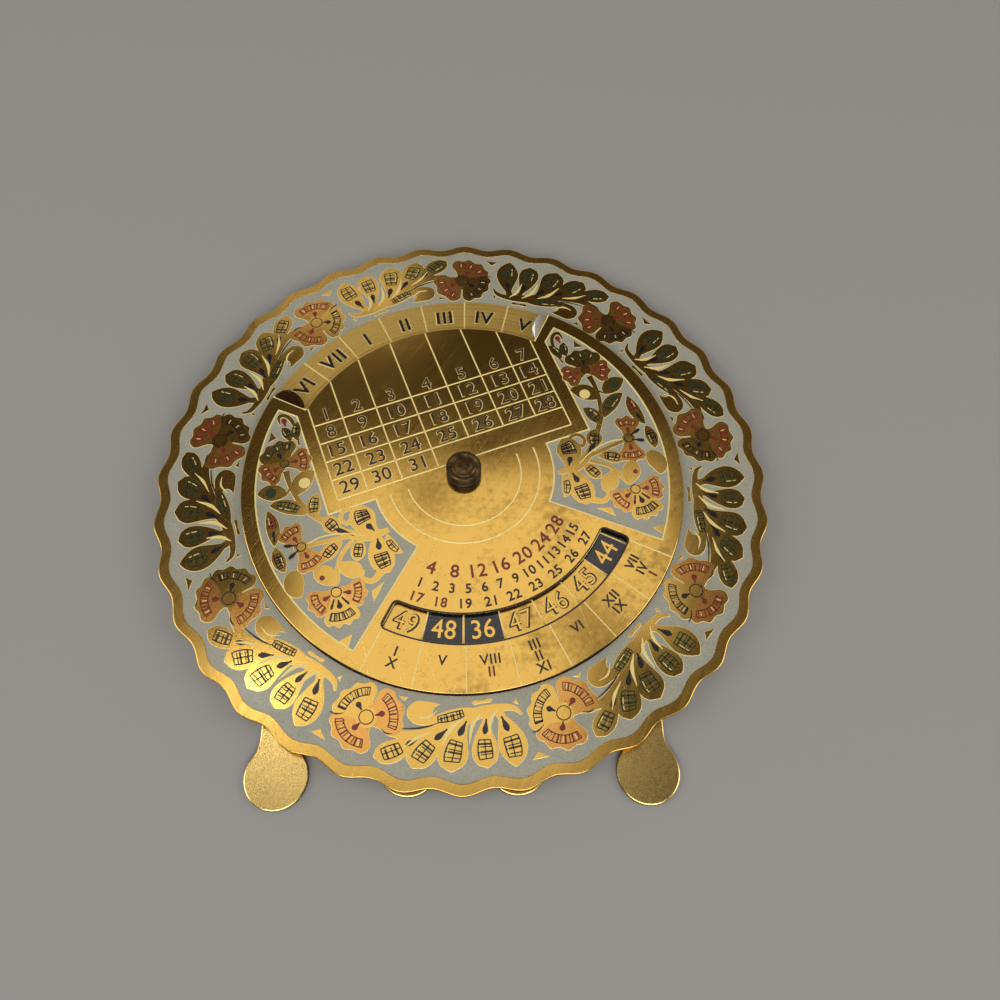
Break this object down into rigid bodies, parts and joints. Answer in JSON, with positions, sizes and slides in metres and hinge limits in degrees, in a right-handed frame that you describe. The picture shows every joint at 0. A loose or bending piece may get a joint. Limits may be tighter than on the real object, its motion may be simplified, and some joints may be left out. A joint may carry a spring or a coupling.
{
  "type": "perpetual desk calendar",
  "caption": "Round brass perpetual calendar with a scalloped enamelled border, a turning dial over weekday and year rings, and a folding easel stand behind.",
  "frame": {"origin": "on the pivot's axis, in the plane that the folded calendar rests on when it lies on its back", "axes": "+Z out of the calendar's face along the pivot, +Y from the feet to the top of the plate, +X to the right as the face is read"},
  "size_m": [0.1212, 0.1227, 0.0074],
  "materials": {
    "plate_brass": "lacquered sheet brass, finely brushed, worn and darkened at the rim",
    "dial_brass": "lacquered sheet brass, brushed, with fine scratches",
    "stand_brass": "plain satin sheet brass",
    "dark_brass": "turned brass with a dark patina",
    "washer_steel": "plain spring steel",
    "pale_enamel": "pale grey fired enamel, satin to glossy",
    "black_enamel": "black fired enamel, glossy"
  },
  "bodies": {
    "base": {"base_plate": "plate_brass", "border_enamel": "pale_enamel", "leap_year_enamel": "black_enamel", "knob": "dark_brass", "pivot_stud": "dark_brass", "spring_washer": "washer_steel", "rear_washer": "dark_brass", "stand_bracket": "stand_brass", "upper_left_rivet": "dark_brass", "upper_right_rivet": "dark_brass", "lower_left_rivet": "dark_brass", "lower_right_rivet": "dark_brass", "hinge_pin": "dark_brass"},
    "dial": {"dial_plate": "dial_brass", "left_panel_enamel": "pale_enamel", "right_panel_enamel": "pale_enamel"},
    "leg": {"rear_leg": "stand_brass"}
  },
  "joints": [
    {"name": "dial_turn", "type": "hinge", "parent": "base", "child": "dial", "pos_m": [0, 0, 0.0041], "axis": [0, 0, 1], "continuous": true},
    {"name": "leg_swing", "type": "hinge", "parent": "base", "child": "leg", "pos_m": [0, 0.024, 0.0012], "axis": [1, 0, 0], "range_deg": [0, 33]}
  ]
}
